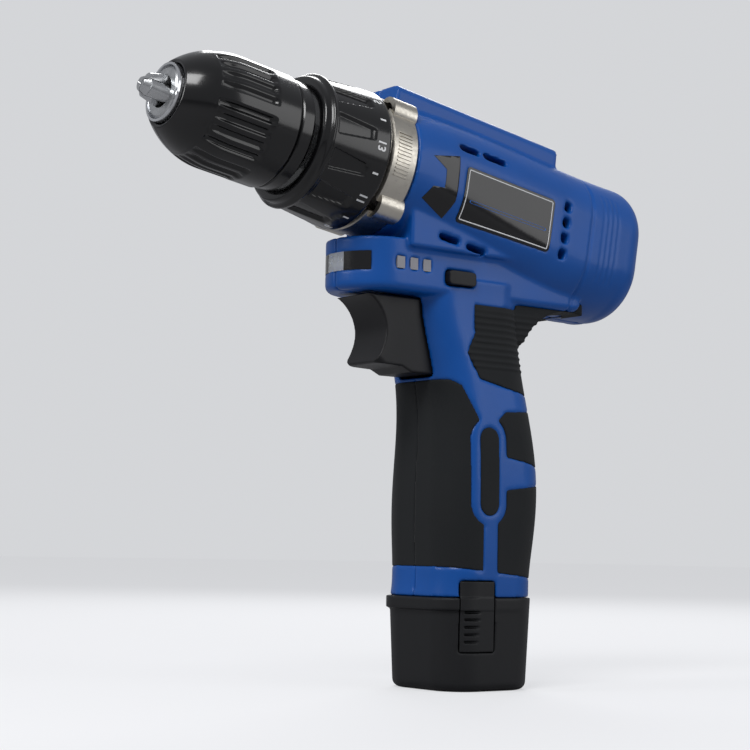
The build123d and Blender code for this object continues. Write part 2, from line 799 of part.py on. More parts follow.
def frame_pattern():
    """The bare housing that shows between the rubber panels, drawn in side view."""
    with BuildSketch(side_view) as pattern:
        with Locations((5.0, 77.5)):
            SlotOverall(38.5, 15.5, rotation=90)
            SlotOverall(31.5, 8.6, rotation=90, mode=Mode.SUBTRACT)
        with Locations((4.4, 48.5)):
            Rectangle(6.4, 23)
        with BuildLine():
            Polyline(
                (30, 141),
                (9.5, 141),
                (9.5, 127),
                (13.5, 119.5),
                (8.5, 110.5),
                (-8, 107),
                (-30, 104.5),
                (-30, 101),
                (-3, 99.2),
                (1.5, 95.5),
                (9.2, 95.5),
                (12.0, 101),
                (15.5, 108),
                (20, 110.6),
                (30, 108.4),
                close=True,
            )
        make_face()
        with BuildLine():
            Polyline((-1.5, 83), (-30, 78.6), (-30, 74.4), (-1.5, 71), close=True)
        make_face()
        with BuildLine():
            Polyline((30, handle_bottom - 1), (30, 44.6), (-30, 38.6), (-30, handle_bottom - 1), close=True)
        make_face()
    return pattern.sketch


with BuildPart() as overmould:
    add(handle_outside.part)
    add(handle_inside.part, mode=Mode.SUBTRACT)
    extrude(frame_pattern(), amount=60, both=True, mode=Mode.SUBTRACT)
    # the rubber stops under the belly and the motor
    bar((-60, 60), (-40, 40), (belly_bottom - 2, 200), mode=Mode.SUBTRACT)
    add(belly.part, mode=Mode.SUBTRACT)
    # and stays clear of the trigger's opening
    bar((16, 60), (-30, 30), (110.0, 160), mode=Mode.SUBTRACT)
    add(web.part)

label_centre = (-56.5, -5.0)
label_size = (43.0, 20.0)
plate_depth = 0.8


def label_block():
    """Block that reaches into both flanks of the barrel behind each label plate."""
    with BuildSketch(barrel_side) as outline:
        with Locations(label_centre):
            RectangleRounded(*label_size, 1.5)
    extrude(outline.sketch, amount=60, both=True)


with BuildPart() as barrel_inside:
    sections = []
    for along, width, height, centre, corner in barrel_sections:
        with BuildSketch(across(along)) as section:
            with Locations((0, centre)):
                RectangleRounded(width - 2 * plate_depth, height - 2 * plate_depth, corner - plate_depth)
        sections.append(section.sketch)
    loft(sections)

with BuildPart() as label_plates:
    label_block()
    add(barrel_outside.part, mode=Mode.INTERSECT)
    add(barrel_inside.part, mode=Mode.SUBTRACT)

front_plate_band = (146.0, 152.6)
front_plate_reach = 50.0
lens_reach = 15.0
with BuildPart() as front_band:
    with BuildSketch(Plane.XY.offset(front_plate_band[0])) as band_plan:
        with Locations((nose_centre_x, 0)):
            Circle(nose_radius)
            Circle(nose_radius - plate_depth, mode=Mode.SUBTRACT)
    extrude(band_plan.sketch, amount=front_plate_band[1] - front_plate_band[0])


def front_wedge(reach):
    """A wedge that keeps what lies within an angle each side of the nose's front."""
    half = 2 * nose_radius * math.tan(math.radians(reach))
    with BuildSketch(Plane.XY.offset(belly_bottom)) as wedge:
        with Locations((nose_centre_x, 0)):
            Polygon((0, 0), (2 * nose_radius, -half), (2 * nose_radius, half), align=None)
    return wedge.sketch


with BuildPart() as work_light:
    add(front_band.part)
    extrude(front_wedge(lens_reach), amount=40, mode=Mode.INTERSECT)
finish(work_light, "work_light_lens")

with BuildPart() as front_plate:
    add(front_band.part)
    extrude(front_wedge(front_plate_reach), amount=40, mode=Mode.INTERSECT)
    add(work_light.part, mode=Mode.SUBTRACT)

with BuildPart() as shell:
    add(barrel_outside.part)
    add(rail.part)
    add(belly.part)
    add(handle_outside.part)
    add(overmould.part, mode=Mode.SUBTRACT)
    add(label_plates.part, mode=Mode.SUBTRACT)
    add(front_plate.part, mode=Mode.SUBTRACT)
    add(work_light.part, mode=Mode.SUBTRACT)
    # bore for gearbox and motor, with two ribs that hold the motor
    ring(motor_front - 1, collar_rear + 1, 0, bore_radius, mode=Mode.SUBTRACT)
    ring(motor_rear - 8, motor_front - 0.9, 0, motor_bore_radius, mode=Mode.SUBTRACT)
    for rib in (motor_front - 14, motor_rear + 12):
        ring(rib, rib + 3, motor_radius + 0.02, motor_bore_radius + 0.5)
    # room above the gear case for the speed fork, and the knob's slot
    fork_roof = gearcase_radius + 3.4
    fork_start = knob_rear - shift_travel - 2
    with BuildSketch(across(fork_start)) as fork_room:
        with Locations((0, fork_roof)):
            Rectangle(11, 10, align=(Align.CENTER, Align.MAX))
    extrude(fork_room.sketch, amount=collar_rear - fork_start, mode=Mode.SUBTRACT)
    with BuildSketch(across(knob_rear - shift_travel - slide_gap)) as knob_slot:
        with Locations((0, rail_top)):
            Rectangle(2 * (knob_half_width + slide_gap), 24)
    knob_room = knob_front - knob_rear + shift_travel + 2 * slide_gap
    extrude(knob_slot.sketch, amount=knob_room, mode=Mode.SUBTRACT)
    # battery pocket, electronics bay, trigger opening and belly bay
    with BuildSketch(Plane.XY.offset(handle_bottom - 1)) as pocket:
        add(cell_triangle(tower_wall + pocket_gap))
    extrude(pocket.sketch, amount=pocket_top - handle_bottom + 1, mode=Mode.SUBTRACT)
    bar((-13, 20), (-12.5, 12.5), (bay_bottom, belly_bottom - 2), mode=Mode.SUBTRACT)
    bar((-11.2, -2.8), (-8.2, 8.2), (pocket_top - 1, bay_bottom + 1), mode=Mode.SUBTRACT)
    opening = trigger_half_width + slide_gap
    bar((14, 60), (-opening, opening), (111, trigger_top + 0.6), mode=Mode.SUBTRACT)
    bar((2, 52), (-13.5, 13.5), (belly_bottom + 2.6, belly_top - 1.5), mode=Mode.SUBTRACT)
    # holes for the collar's screws
    with BuildSketch(across(collar_rear + 1)) as collar_holes:
        for angle in lug_angles:
            with Locations(Vector(lug_orbit, 0).rotate(Axis.Z, angle)):
                Circle(screw_radius + 0.02)
    extrude(collar_holes.sketch, amount=-11, mode=Mode.SUBTRACT)
    # screw bosses from side to side, drilled from the right
    for place in screw_places:
        cross_pin(place, boss_radius, (-boss_half_length, boss_half_length))
        cross_pin(place, screw_radius + 0.02, (-60, 10), mode=Mode.SUBTRACT)
        cross_pin(place, screw_head_radius + slide_gap, (-60, -11), mode=Mode.SUBTRACT)
    # side openings: direction selector, charge windows, vents and slots
    half_x = selector_size[0] / 2 + slide_gap
    half_z = selector_size[1] / 2 + slide_gap
    bar(
        (selector_place[0] - half_x, selector_place[0] + half_x),
        (-30, 30),
        (selector_place[1] - half_z, selector_place[1] + half_z),
        mode=Mode.SUBTRACT,
    )
    for x in window_places:
        bar(
            (x - window_size[0] / 2, x + window_size[0] / 2),
            (5, 30),
            (window_height - window_size[1] / 2, window_height + window_size[1] / 2),
            mode=Mode.SUBTRACT,
        )
    with BuildSketch(barrel_side) as vents:
        for along, up in vent_places:
            with Locations((along, up)):
                RectangleRounded(3.4, 3.8, 0.7)
        for along, up, length in slot_places:
            with Locations((along, up)):
                RectangleRounded(length, 2.4, 0.7)
    extrude(vents.sketch, amount=40, both=True, mode=Mode.SUBTRACT)
    # latch windows at the foot of the handle
    for angle in latch_angles:
        latch_block(angle, face_distance - 1, 40, latch_width / 2 + slide_gap,
                    (handle_bottom - 1, latch_window_top + slide_gap), mode=Mode.SUBTRACT)

wholes = (("housing", shell), ("handle_grip", overmould), ("label_plate", label_plates))
for name, whole in wholes:
    for side, keep in (("left", Keep.BOTTOM), ("right", Keep.TOP)):
        with BuildPart() as half:
            add(whole.part)
            split(bisect_by=Plane.XZ, keep=keep)
        finish(half, f"{name}_{side}")
finish(front_plate, "front_plate")

with BuildPart() as housing_screws:
    for place in screw_places:
        cross_pin(place, screw_radius, (-12, 9))
        cross_pin(place, screw_head_radius, (-13.2, -11))
finish(housing_screws, "housing_screws")

# ---------------------------------------------------------------- speed selector
knob_floor = fork_roof - 2.6
with BuildPart() as speed_knob:
    with BuildSketch(across(knob_rear)) as knob_body:
        with Locations((0, knob_floor)):
            Rectangle(2 * knob_half_width, rail_top + 1.2 - knob_floor, align=(Align.CENTER, Align.MIN))
    extrude(knob_body.sketch, amount=knob_front - knob_rear)
    chamfer(speed_knob.faces().sort_by(Axis(barrel_origin, upward))[-1].edges(), 0.8)
    for n in range(5):
        with BuildSketch(across(knob_rear + 2.8 + 2.4 * n)) as grip_cut:
            with Locations((0, rail_top + 1.2)):
                Rectangle(2 * knob_half_width + 1, 1.4)
        extrude(grip_cut.sketch, amount=0.9, mode=Mode.SUBTRACT)
finish(speed_knob, "speed_knob")

with BuildPart() as speed_fork:
    with BuildSketch(across(knob_front)) as strip:
        with Locations((0, knob_floor + 0.2)):
            Rectangle(2 * fork_half_width, 1.6, align=(Align.CENTER, Align.MIN))
    extrude(strip.sketch, amount=fork_tip + fork_half_thickness - knob_front)
    with BuildSketch(across(fork_tip - fork_half_thickness)) as finger:
        with Locations((0, case_bore - 0.9)):
            finger_length = knob_floor + 0.4 - case_bore + 0.9
            Rectangle(2 * fork_half_width, finger_length, align=(Align.CENTER, Align.MIN))
    extrude(finger.sketch, amount=2 * fork_half_thickness)
finish(speed_fork, "speed_fork")

# ---------------------------------------------------------------- trigger, switch and selector
trigger_back = 20.0
with BuildPart() as trigger:
    with BuildSketch(side_view):
        with BuildLine():
            Spline((51.3, trigger_top), (44.6, 132.4), (42.7, 126.2), (44.2, 119.6), (46.9, 114.9))
            Polyline(
                (46.9, 114.9),
                (46.0, 114.2),
                (35.5, 113.8),
                (31.5, 111.9),
                (trigger_back, 111.9),
                (trigger_back, trigger_top),
                (51.3, trigger_top),
            )
        make_face()
    extrude(amount=trigger_half_width, both=True)
    fillet(trigger.faces().sort_by(Axis.X)[-1].edges().filter_by(Plane.XZ), 2.6)
finish(trigger, "trigger")

switch_front = 11.0
with BuildPart() as switch_body:
    bar((-12.8, switch_front), (-12.3, 12.3), (112.5, 135.5))
    bar((switch_front, trigger_back - trigger_travel - slide_gap), (-3, 3), (129, 133))
finish(switch_body, "trigger_switch")

trigger_spring_start = (switch_front + 0.65, 0, 121.0)
spring_wire = 0.5
with BuildPart() as trigger_spring:
    with BuildLine() as coil:
        Helix(
            pitch=(trigger_back - switch_front - 1.3) / 4,
            height=trigger_back - switch_front - 1.3,
            radius=3.4,
            center=trigger_spring_start,
            direction=(1, 0, 0),
        )
    with BuildSketch(Plane(origin=coil.line @ 0, z_dir=coil.line % 0)):
        Circle(spring_wire)
    sweep(is_frenet=True)
finish(trigger_spring, "trigger_spring")

selector_half_length = nose_radius + 1.9
with BuildPart() as selector:
    x, z = selector_place
    bar(
        (x - selector_size[0] / 2, x + selector_size[0] / 2),
        (-selector_half_length, selector_half_length),
        (z - selector_size[1] / 2, z + selector_size[1] / 2),
    )
    fillet(selector.edges().filter_by(Axis.Y), 1.4)
finish(selector, "direction_selector")

with BuildPart() as charge_lights:
    x_low, x_high = window_places[0] - 3, window_places[-1] + 2.7
    bar((x_low, x_high), (12.2, 13.4), (window_height - 3, window_height + 3))
    for x in window_places:
        bar((x - 1.7, x + 1.7), (13.4, nose_radius - 0.2), (window_height - 2.1, window_height + 2.1))
finish(charge_lights, "charge_lights")

with BuildPart() as terminal_block:
    bar((-11, -3), (-8, 8), (pocket_top + 0.1, bay_bottom + 4))
finish(terminal_block, "terminal_block")

# ---------------------------------------------------------------- battery pack
cup_rim = handle_bottom - 0.1
tower_bottom = cell_floor - 2.0
tower_face = face_distance
latch_back = tower_face + 3.9
latch_bottom = 14.0


def cup_loft(inset, start):
    """The cup's outside drawn in by an inset, from a height up to the rim."""
    rise = start / cup_rim
    half_x = cup_foot_half[0] + (cup_rim_half[0] - cup_foot_half[0]) * rise - inset
    half_y = cup_foot_half[1] + (cup_rim_half[1] - cup_foot_half[1]) * rise - inset
    with BuildSketch(Plane.XY.offset(start)) as low:
        RectangleRounded(2 * half_x, 2 * half_y, cup_corner - inset)
    with BuildSketch(Plane.XY.offset(cup_rim)) as high:
        RectangleRounded(2 * (cup_rim_half[0] - inset), 2 * (cup_rim_half[1] - inset), cup_corner - inset)
    return [low.sketch, high.sketch]


with BuildPart() as cup_outside:
    loft(cup_loft(0.0, 0.0))
    fillet(cup_outside.faces().sort_by(Axis.Z)[0].edges(), 3.0)
    with BuildSketch(Plane.XY.offset(cup_rim - 4.4)) as lip:
        with Locations((0.9, 0)):
            RectangleRounded(2 * (cup_rim_half[0] + 0.6), 2 * cup_rim_half[1], cup_corner)
    extrude(lip.sketch, amount=4.4)

with BuildPart() as battery_cup:
    add(cup_outside.part)
    loft(cup_loft(cup_wall, 2.6), mode=Mode.SUBTRACT)
    # cross ribs carry the tower above the floor
    bar((-cup_foot_half[0] + 1, cup_foot_half[0] - 1), (-1, 1), (2.0, tower_bottom))
    bar((-1, 1), (-cup_foot_half[1] + 1, cup_foot_half[1] - 1), (2.0, tower_bottom))
    for angle in latch_angles:
        latch_block(angle, latch_back - slide_gap, 40, latch_width / 2 + slide_gap,
                    (latch_bottom - slide_gap, cup_rim + 1), mode=Mode.SUBTRACT)
finish(battery_cup, "battery_cup")

for side, angle in (("left", latch_angles[0]), ("right", latch_angles[1])):
    with BuildPart() as latch_hook:
        latch_block(angle, latch_back, 40, latch_width / 2, (cup_rim, latch_window_top))
        add(handle_outside.part, mode=Mode.INTERSECT)
    with BuildPart() as latch:
        latch_block(angle, latch_back, 40, latch_width / 2, (latch_bottom, cup_rim))
        add(cup_outside.part, mode=Mode.INTERSECT)
        add(latch_hook.part)
        # ribs across the button for the thumb
        for rung in range(5):
            height = latch_bottom + 3 + 2.6 * rung
            rung_band = (height, height + 0.9)
            latch_block(angle, latch_back + 5.2, 40, latch_width / 2 - 1.5, rung_band, mode=Mode.SUBTRACT)
    finish(latch, f"latch_{side}")

    outward = Vector(1, 0, 0).rotate(Axis.Z, angle)
    latch_wire = 0.35
    with BuildPart() as latch_spring:
        with BuildLine() as coil:
            Helix(
                pitch=(latch_back - tower_face - 2 * latch_wire - 0.2) / 2.5,
                height=latch_back - tower_face - 2 * latch_wire - 0.2,
                radius=2.4,
                center=Vector(triangle_x, 0, 23) + outward * (tower_face + latch_wire + 0.1),
                direction=outward,
            )
        with BuildSketch(Plane(origin=coil.line @ 0, z_dir=coil.line % 0)):
            Circle(latch_wire)
        sweep(is_frenet=True)
    finish(latch_spring, f"latch_spring_{side}")

contact_angles = (60, -60, 180)
contact_band = (67.0, 76.0)
board_bottom = cell_floor + cell_length + 0.2
board_thickness = 1.4
with BuildPart() as battery_tower:
    with BuildSketch(Plane.XY.offset(tower_bottom)) as foot:
        add(cell_triangle(tower_wall))
    extrude(foot.sketch, amount=tower_top - tower_bottom)
    fillet(battery_tower.faces().sort_by(Axis.Z)[-1].edges(), 0.8)
    with BuildSketch(Plane.XY.offset(cell_floor)) as wells:
        with Locations(*cell_places):
            Circle(cell_radius + seat_gap)
    extrude(wells.sketch, amount=cell_length + 0.2, mode=Mode.SUBTRACT)
    with BuildSketch(Plane.XY.offset(board_bottom)) as board_room:
        add(cell_triangle(-0.4))
    extrude(board_room.sketch, amount=board_thickness + 0.1, mode=Mode.SUBTRACT)
    for angle in contact_angles:
        latch_block(angle, tower_face - 0.6, 40, 4.5, contact_band, mode=Mode.SUBTRACT)
finish(battery_tower, "battery_tower")

with BuildPart() as battery_cells:
    with BuildSketch(Plane.XY.offset(cell_floor)) as cans:
        with Locations(*cell_places):
            Circle(cell_radius - 0.05)
    extrude(cans.sketch, amount=cell_length - 1.0)
    with BuildSketch(Plane.XY.offset(cell_floor + cell_length - 1.0)) as buttons:
        with Locations(*cell_places):
            Circle(2.8)
    extrude(buttons.sketch, amount=1.0)
finish(battery_cells, "battery_cells")

with BuildPart() as battery_board:
    with BuildSketch(Plane.XY.offset(board_bottom)) as board:
        add(cell_triangle(-0.8))
    extrude(board.sketch, amount=board_thickness)
finish(battery_board, "battery_board")

with BuildPart() as battery_contacts:
    strip_band = (contact_band[0] + 0.1, contact_band[1] - 0.1)
    for angle in contact_angles:
        latch_block(angle, tower_face - 0.58, tower_face - 0.1, 4.4, strip_band)
finish(battery_contacts, "battery_contacts")
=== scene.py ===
import json
import math

import bmesh
import bpy
import numpy as np
from mathutils import Matrix, Vector
from mathutils.bvhtree import BVHTree


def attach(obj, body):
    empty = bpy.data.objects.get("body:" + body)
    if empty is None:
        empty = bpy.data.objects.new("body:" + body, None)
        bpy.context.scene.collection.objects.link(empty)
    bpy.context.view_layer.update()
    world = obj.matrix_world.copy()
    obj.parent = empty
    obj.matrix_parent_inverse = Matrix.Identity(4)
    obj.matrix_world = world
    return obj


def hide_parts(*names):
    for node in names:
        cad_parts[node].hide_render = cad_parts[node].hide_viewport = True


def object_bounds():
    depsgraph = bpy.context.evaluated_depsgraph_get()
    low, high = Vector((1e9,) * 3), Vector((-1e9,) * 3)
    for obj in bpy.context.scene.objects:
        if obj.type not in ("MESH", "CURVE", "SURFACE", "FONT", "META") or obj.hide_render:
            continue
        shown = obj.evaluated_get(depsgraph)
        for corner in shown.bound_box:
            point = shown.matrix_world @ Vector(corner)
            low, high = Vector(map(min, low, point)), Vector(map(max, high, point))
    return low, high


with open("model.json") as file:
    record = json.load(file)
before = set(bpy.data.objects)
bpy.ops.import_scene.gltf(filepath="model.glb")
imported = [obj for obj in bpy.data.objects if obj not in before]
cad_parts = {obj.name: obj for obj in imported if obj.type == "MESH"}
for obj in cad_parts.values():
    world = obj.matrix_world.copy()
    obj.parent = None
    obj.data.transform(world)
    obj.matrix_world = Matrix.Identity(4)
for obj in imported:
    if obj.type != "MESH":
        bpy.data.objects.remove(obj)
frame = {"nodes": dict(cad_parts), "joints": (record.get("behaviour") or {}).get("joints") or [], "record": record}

# Cordless drill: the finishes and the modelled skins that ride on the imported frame.
# Metres in the scene; MM turns the drill's own millimetres into metres.
MM = 0.001
cad_box = [list(corner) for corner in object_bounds()]
FLANKS = (("left", 1), ("right", -1))
INK_HEIGHT = 0.09

# ------------------------------------------------------------------ frame of the barrel
spin = next(joint for joint in frame["joints"] if joint["name"] == "chuck_spin")
barrel_origin = Vector(spin["pos_m"])
forward = Vector(spin["axis"]).normalized()
leftward = Vector((0, 1, 0))
upward = forward.cross(leftward)


def barrel(along, left=0.0, up=0.0):
    """A point in metres from millimetres along, left of and above the barrel axis."""
    return barrel_origin + (forward * along + leftward * left + upward * up) * MM


def along_of(point):
    """How far along the barrel a point is, in millimetres."""
    return (point - barrel_origin).dot(forward) / MM


def span(*nodes):
    """First and last place of some nodes along the barrel, in millimetres."""
    places = [along_of(vertex.co) for node in nodes for vertex in frame["nodes"][node].data.vertices]
    return min(places), max(places)


def reach(node):
    """Largest radius of a node about the barrel axis, in millimetres."""
    far = 0.0
    for vertex in frame["nodes"][node].data.vertices:
        offset = vertex.co - barrel_origin
        far = max(far, (offset - forward * offset.dot(forward)).length)
    return far / MM


# ------------------------------------------------------------------ materials
def shader(name, colour, roughness, metallic=0.0, coat=0.0, sheen=0.0):
    """A Principled material with its plain values set, and its nodes, links and shader."""
    made = bpy.data.materials.new(name)
    made.use_nodes = True
    nodes, links = made.node_tree.nodes, made.node_tree.links
    bsdf = nodes["Principled BSDF"]
    bsdf.inputs["Base Color"].default_value = (*colour, 1.0)
    bsdf.inputs["Roughness"].default_value = roughness
    bsdf.inputs["Metallic"].default_value = metallic
    bsdf.inputs["Coat Weight"].default_value = coat
    bsdf.inputs["Coat Roughness"].default_value = 0.12
    bsdf.inputs["Sheen Weight"].default_value = sheen
    return made, nodes, links, bsdf


def noise(nodes, links, scale, detail):
    """A noise texture in object space."""
    coordinates = nodes.new("ShaderNodeTexCoord")
    texture = nodes.new("ShaderNodeTexNoise")
    texture.inputs["Scale"].default_value = scale
    texture.inputs["Detail"].default_value = detail
    links.new(coordinates.outputs["Object"], texture.inputs["Vector"])
    return texture


def vary(nodes, links, texture, low, high, target):
    """Drive a socket between two values by a texture."""
    remap = nodes.new("ShaderNodeMapRange")
    remap.inputs["From Min"].default_value = 0.3
    remap.inputs["From Max"].default_value = 0.7
    remap.inputs["To Min"].default_value = low
    remap.inputs["To Max"].default_value = high
    links.new(texture.outputs["Fac"], remap.inputs["Value"])
    links.new(remap.outputs["Result"], target)


def tint(nodes, links, texture, dark, light, target):
    """Blend two near colours by a texture."""
    ramp = nodes.new("ShaderNodeValToRGB")
    ramp.color_ramp.elements[0].position = 0.35
    ramp.color_ramp.elements[1].position = 0.65
    ramp.color_ramp.elements[0].color = (*dark, 1.0)
    ramp.color_ramp.elements[1].color = (*light, 1.0)
    links.new(texture.outputs["Fac"], ramp.inputs["Fac"])
    links.new(ramp.outputs["Color"], target)


def grain(nodes, links, bsdf, texture, strength, depth):
    """Bump from a texture, depth in millimetres."""
    bump = nodes.new("ShaderNodeBump")
    bump.inputs["Strength"].default_value = strength
    bump.inputs["Distance"].default_value = depth * MM
    links.new(texture.outputs["Fac"], bump.inputs["Height"])
    links.new(bump.outputs["Normal"], bsdf.inputs["Normal"])


def shaded(colour, factor):
    """A colour made darker or lighter."""
    return tuple(min(1.0, channel * factor) for channel in colour)


def plastic(name, colour, roughness, grain_depth=0.03, coat=0.0, spread=0.06):
    """Moulded plastic: fine spark texture, slight change of gloss and of colour."""
    made, nodes, links, bsdf = shader(name, colour, roughness, coat=coat)
    bsdf.inputs["Specular IOR Level"].default_value = 0.30
    broad = noise(nodes, links, 35.0, 3.0)
    vary(nodes, links, broad, roughness - spread, roughness + spread, bsdf.inputs["Roughness"])
    tint(nodes, links, broad, shaded(colour, 0.93), shaded(colour, 1.05), bsdf.inputs["Base Color"])
    if grain_depth:
        fine = noise(nodes, links, 2600.0, 2.0)
        grain(nodes, links, bsdf, fine, 0.35, grain_depth)
    return made


def rubber(name, colour):
    """Overmoulded rubber: matte, with a soft sheen and a fine pebble."""
    made, nodes, links, bsdf = shader(name, colour, 0.78, sheen=0.05)
    bsdf.inputs["Specular IOR Level"].default_value = 0.28
    bsdf.inputs["Sheen Roughness"].default_value = 0.5
    broad = noise(nodes, links, 60.0, 5.0)
    vary(nodes, links, broad, 0.68, 0.84, bsdf.inputs["Roughness"])
    tint(nodes, links, broad, shaded(colour, 0.85), shaded(colour, 1.15), bsdf.inputs["Base Color"])
    fine = noise(nodes, links, 1700.0, 3.0)
    grain(nodes, links, bsdf, fine, 0.6, 0.06)
    return made


def metal(name, colour, roughness, depth=0.01):
    """Turned, ground or drawn metal, with fine marks."""
    made, nodes, links, bsdf = shader(name, colour, roughness, metallic=1.0)
    marks = noise(nodes, links, 900.0, 3.0)
    vary(nodes, links, marks, roughness - 0.07, roughness + 0.10, bsdf.inputs["Roughness"])
    broad = noise(nodes, links, 90.0, 4.0)
    tint(nodes, links, broad, shaded(colour, 0.88), shaded(colour, 1.06), bsdf.inputs["Base Color"])
    grain(nodes, links, bsdf, marks, 0.25, depth)
    return made


def lens_glass(name, colour):
    """Frosted clear plastic."""
    made, nodes, links, bsdf = shader(name, colour, 0.22, coat=0.5)
    bsdf.inputs["Transmission Weight"].default_value = 0.6
    cloud = noise(nodes, links, 400.0, 2.0)
    vary(nodes, links, cloud, 0.18, 0.30, bsdf.inputs["Roughness"])
    return made


BLUE = (0.002, 0.080, 0.36)
CHARCOAL = (0.008, 0.0095, 0.011)
PITCH = (0.0035, 0.0035, 0.004)
blue_plastic = plastic("blue_plastic", BLUE, 0.38, 0.02, coat=0.08)
grip_rubber = rubber("grip_rubber", CHARCOAL)
black_plastic = plastic("black_plastic", (0.008, 0.008, 0.0095), 0.46, 0.03)
cup_plastic = plastic("cup_plastic", (0.009, 0.0095, 0.011), 0.50, 0.04)
gloss_black = plastic("gloss_black", PITCH, 0.22, 0.012, coat=0.5, spread=0.04)
label_gloss = plastic("label_gloss", (0.004, 0.004, 0.005), 0.18, 0.0, coat=0.4, spread=0.03)
white_ink = plastic("white_ink", (0.80, 0.81, 0.82), 0.45, 0.0)
blue_ink = plastic("blue_ink", (0.02, 0.16, 0.62), 0.40, 0.0)
collar_metal = metal("collar_metal", (0.56, 0.53, 0.47), 0.34)
steel = metal("steel", (0.56, 0.57, 0.58), 0.28)
bright_steel = metal("bright_steel", (0.78, 0.79, 0.81), 0.16)
spring_steel = metal("spring_steel", (0.42, 0.42, 0.43), 0.33)
gear_steel = metal("gear_steel", (0.34, 0.34, 0.35), 0.42)
screw_steel = metal("screw_steel", (0.10, 0.10, 0.11), 0.40)
copper = metal("copper", (0.72, 0.40, 0.22), 0.30)
magnet = plastic("magnet", (0.05, 0.05, 0.055), 0.70, 0.05)
board_green = plastic("board_green", (0.02, 0.16, 0.07), 0.35, 0.02)
cell_wrap = plastic("cell_wrap", (0.08, 0.24, 0.34), 0.30, 0.0)
frosted = lens_glass("frosted", (0.86, 0.90, 0.94))
light_pipe = plastic("light_pipe", (0.24, 0.24, 0.27), 0.30, 0.0, coat=0.2)

slot_finish = {
    "housing_blue": blue_plastic,
    "grip_rubber": grip_rubber,
    "black_plastic": black_plastic,
    "gloss_black": gloss_black,
    "label_black": label_gloss,
    "collar_metal": collar_metal,
    "steel": steel,
    "bright_steel": bright_steel,
    "spring_steel": spring_steel,
    "gear_steel": gear_steel,
    "magnet": magnet,
    "copper": copper,
    "clear_lens": frosted,
    "light_pipe": light_pipe,
    "board_green": board_green,
    "cell_wrap": cell_wrap,
}
bodies = frame["record"]["behaviour"]["bodies"]
body_holding = {node: body for body, group in bodies.items() for node in group}
slot_of = {part["node"]: part["material_slot"] for part in frame["record"]["subparts"]}
special = {"battery_cup": cup_plastic, "housing_screws": screw_steel, "collar_screws": screw_steel}
for name, node in frame["nodes"].items():
    finish = special.get(name, slot_finish[slot_of[name]])
    if not node.material_slots:
        node.data.materials.append(finish)
    for place in node.material_slots:
        place.material = finish


# ------------------------------------------------------------------ mesh helpers
def new_piece(name, points, faces, body, finish, smooth=True):
    """A mesh object in the row frame that rides on a body."""
    mesh = bpy.data.meshes.new(name)
    mesh.from_pydata([tuple(p) for p in points], [], faces)
    mesh.validate()
    mesh.polygons.foreach_set("use_smooth", [smooth] * len(mesh.polygons))
    mesh.materials.append(finish)
    piece = bpy.data.objects.new(name, mesh)
    bpy.context.scene.collection.objects.link(piece)
    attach(piece, body)
    return piece


def evaluated(piece):
    """Apply a piece's modifiers."""
    graph = bpy.context.evaluated_depsgraph_get()
    mesh = bpy.data.meshes.new_from_object(piece.evaluated_get(graph))
    piece.modifiers.clear()
    old = piece.data
    piece.data = mesh
    bpy.data.meshes.remove(old)
    piece.data.polygons.foreach_set("use_smooth", [True] * len(piece.data.polygons))
    return piece


def filled(name, curve):
    """The mesh that a flat or raised curve makes."""
    holder = bpy.data.objects.new(name, curve)
    bpy.context.scene.collection.objects.link(holder)
    bpy.context.view_layer.update()
    graph = bpy.context.evaluated_depsgraph_get()
    mesh = bpy.data.meshes.new_from_object(holder.evaluated_get(graph))
    bpy.data.objects.remove(holder)
    return mesh


def softened(node, name, voxel, passes, finish):
    """A copy of a node with its sharp edges melted into small radii, as a mould leaves them."""
    mesh = frame["nodes"][node].data.copy()
    piece = bpy.data.objects.new(name, mesh)
    bpy.context.scene.collection.objects.link(piece)
    remesh = piece.modifiers.new("remesh", "REMESH")
    remesh.mode = "VOXEL"
    remesh.voxel_size = voxel * MM
    remesh.use_smooth_shade = True
    smooth = piece.modifiers.new("smooth", "SMOOTH")
    smooth.factor = 0.5
    smooth.iterations = passes
    evaluated(piece)
    piece.data.materials.clear()
    piece.data.materials.append(finish)
    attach(piece, body_holding[node])
    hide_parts(node)
    return piece


def coordinates(piece):
    """A piece's vertices as an array."""
    flat = np.empty(len(piece.data.vertices) * 3)
    piece.data.vertices.foreach_get("co", flat)
    return flat.reshape(-1, 3)


def set_coordinates(piece, points):
    """Write an array back to a piece's vertices."""
    piece.data.vertices.foreach_set("co", points.reshape(-1))
    piece.data.update()


def normals(piece):
    """A piece's vertex normals as an array."""
    flat = np.empty(len(piece.data.vertices) * 3)
    piece.data.vertex_normals.foreach_get("vector", flat)
    return flat.reshape(-1, 3)


def barrel_frame(points):
    """Points as (along, left, up) in the barrel's frame, in millimetres."""
    offset = (points - np.array(barrel_origin)) / MM
    axes = np.array([forward, leftward, upward])
    return offset @ axes.T


def groove(distance, width):
    """1 in the middle of a line and 0 outside it, with round shoulders."""
    return np.clip(1 - (np.abs(distance) / (width / 2)) ** 2, 0, 1)


def step(value, start, end):
    """Smooth rise from 0 at start to 1 at end."""
    share = np.clip((value - start) / (end - start), 0, 1)
    return share * share * (3 - 2 * share)


# ------------------------------------------------------------------ turned skins
def turned(name, profile, angles, shape, body, finish):
    """A closed turned skin: profile is (along, radius) round its section, and shape moves each radius."""
    turns = len(angles)
    points = []
    for along, radius in profile:
        for angle in angles:
            moved = shape(along, radius, angle)
            points.append(barrel(along, moved * math.cos(angle), moved * math.sin(angle)))
    faces = []
    rows = len(profile)
    for row in range(rows):
        here, following = row * turns, (row + 1) % rows * turns
        for turn in range(turns):
            beside = (turn + 1) % turns
            faces.append((here + turn, following + turn, following + beside, here + beside))
    return new_piece(name, points, faces, body, finish)


def full_turn(count):
    """Even angles round a full turn."""
    return [2 * math.pi * turn / count for turn in range(count)]


